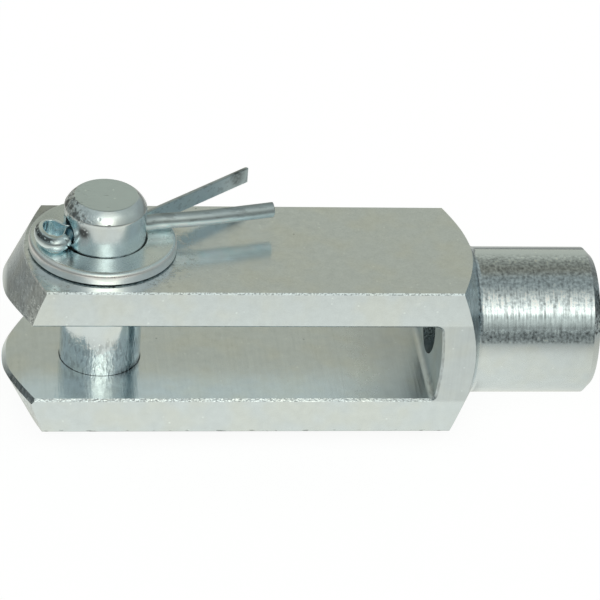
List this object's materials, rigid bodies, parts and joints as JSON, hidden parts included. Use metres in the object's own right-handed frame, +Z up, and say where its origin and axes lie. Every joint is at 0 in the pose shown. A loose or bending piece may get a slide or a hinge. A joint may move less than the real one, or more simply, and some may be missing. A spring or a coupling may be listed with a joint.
{
  "type": "clevis rod end",
  "caption": "Fork on a threaded shank that pins a rod to an eye or lever, with its clevis pin, washer and split pin fitted.",
  "frame": {"origin": "where the clevis pin's axis crosses the fork's centre line, midway between the ears", "axes": "+X along the fork from the pin to the threaded shank, +Z up the clevis pin to the split pin, +Y across the ears"},
  "size_m": [0.072, 0.0234, 0.0295],
  "materials": {
    "fork_steel": "milled and turned steel with a thin bright zinc plating, fine tool marks",
    "pin_steel": "turned and plated, smooth satin",
    "washer_steel": "stamped and plated, edges rounded by tumbling",
    "split_pin_steel": "drawn half-round wire, plated, satin"
  },
  "bodies": {
    "fork": {"clevis_body": "fork_steel"},
    "pin": {"clevis_pin": "pin_steel", "split_pin": "split_pin_steel"},
    "washer": {"washer": "washer_steel"}
  },
  "joints": [
    {"name": "pin_turn", "type": "hinge", "parent": "fork", "child": "pin", "pos_m": [0, 0, 0], "axis": [0, 0, 1], "continuous": true},
    {"name": "washer_turn", "type": "hinge", "parent": "fork", "child": "washer", "pos_m": [0, 0, 0.01085], "axis": [0, 0, 1], "continuous": true}
  ]
}
